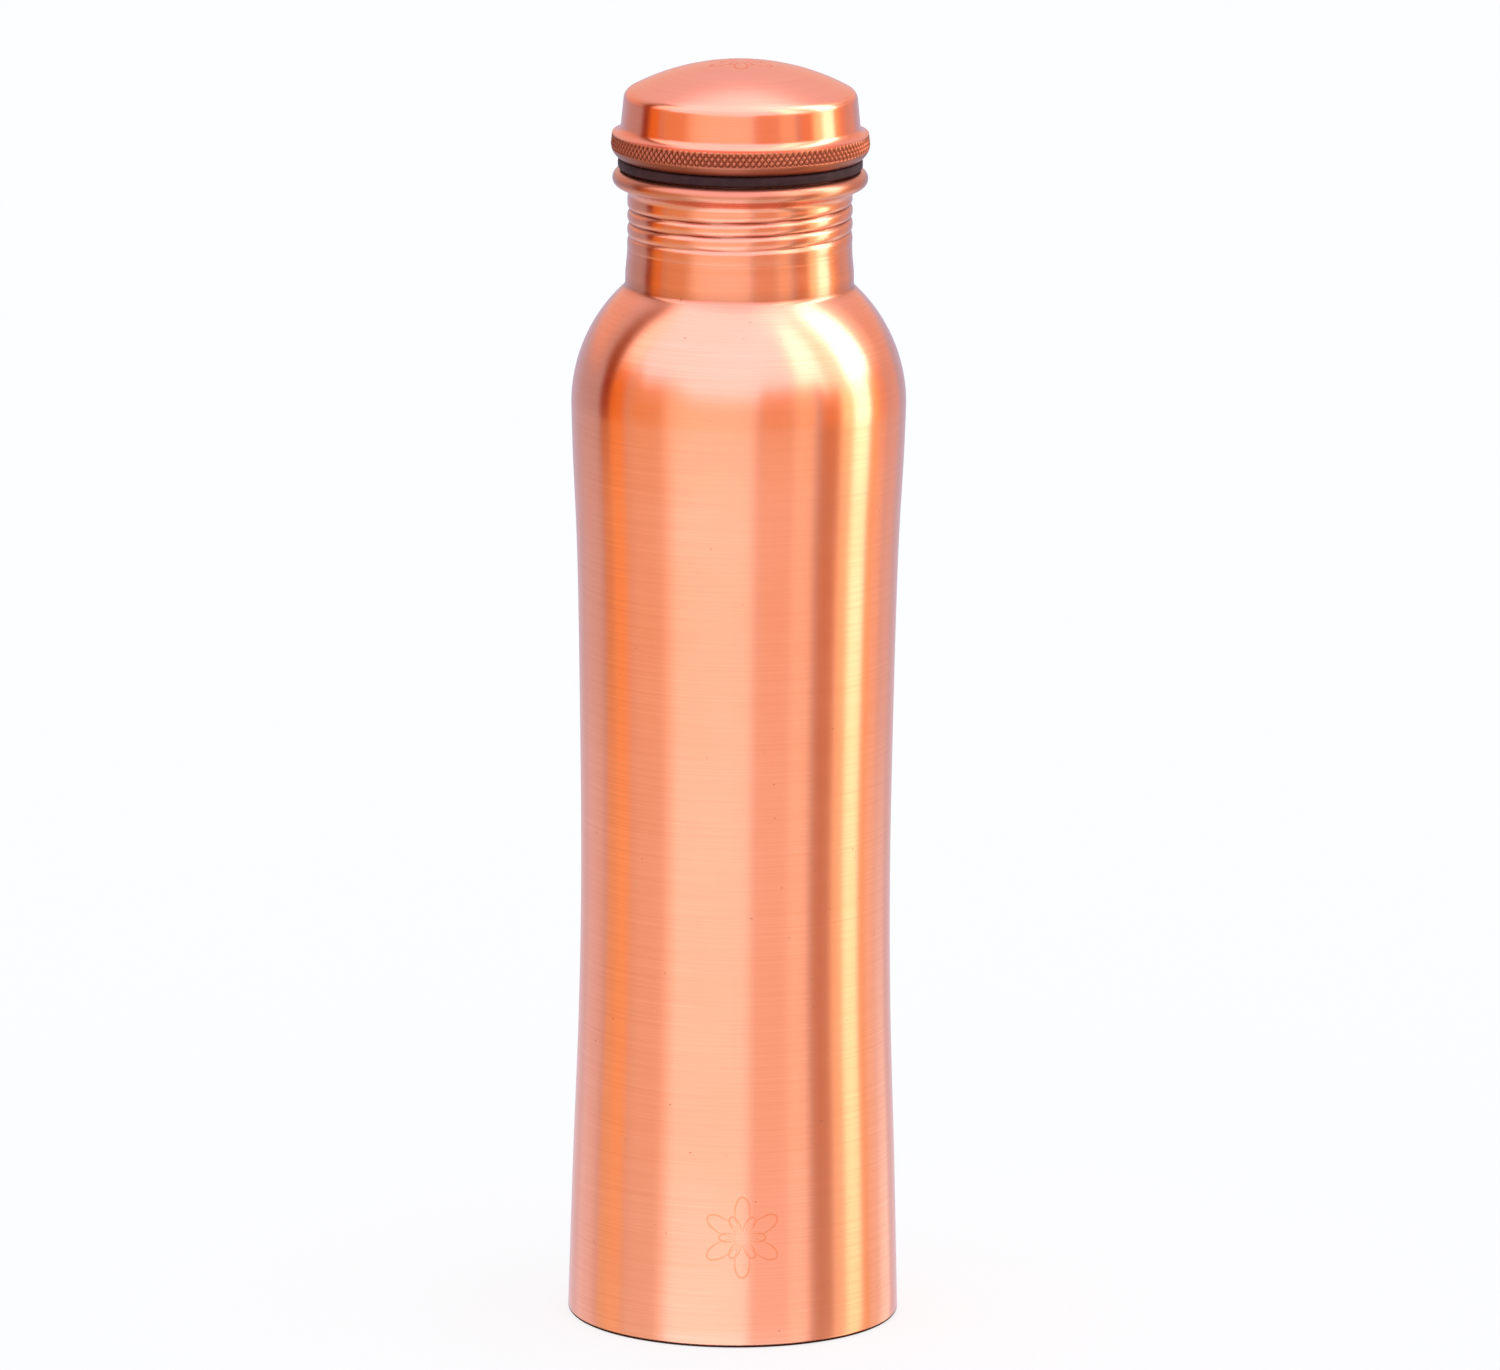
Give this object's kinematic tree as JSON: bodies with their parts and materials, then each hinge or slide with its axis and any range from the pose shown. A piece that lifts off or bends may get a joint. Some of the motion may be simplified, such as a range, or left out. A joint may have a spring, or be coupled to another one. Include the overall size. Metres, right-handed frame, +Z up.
{
  "type": "water bottle",
  "caption": "Round single-wall copper water bottle with a slight waist, a rolled-thread neck, a rubber gasket and a domed screw cap with a knurled lip.",
  "frame": {"origin": "centre of the foot, on the surface the bottle stands on", "axes": "+Z up along the bottle's axis, towards the cap"},
  "size_m": [0.0734, 0.0734, 0.28],
  "materials": {
    "body_copper": "fine circumferential brushing, clear and bright",
    "cap_copper": "fine circumferential brushing, knurled lip",
    "disc_copper": "spun satin copper",
    "plug_copper": "satin copper with a rolled thread",
    "braze": "dull brass-coloured filler",
    "solder": "dull grey filler",
    "gasket_rubber": "matte dark red-brown rubber"
  },
  "bodies": {
    "bottle": {"body_shell": "body_copper", "base_disc": "disc_copper", "base_braze_ring": "braze"},
    "gasket": {"gasket_ring": "gasket_rubber"},
    "cap": {"cap_shell": "cap_copper", "cap_plug": "plug_copper", "cap_solder_ring": "solder"}
  },
  "joints": [
    {"name": "cap_lift", "type": "slide", "parent": "bottle", "child": "gasket", "axis": [0, 0, 1], "range_m": [0, 0.0241]},
    {"name": "cap_spin", "type": "hinge", "parent": "gasket", "child": "cap", "pos_m": [0, 0, 0.2575], "axis": [0, 0, 1], "range_deg": [0, 2880]}
  ],
  "couplings": [
    {"joint": "cap_lift", "follows": "cap_spin", "m_per_rad": 0.00047746}
  ]
}
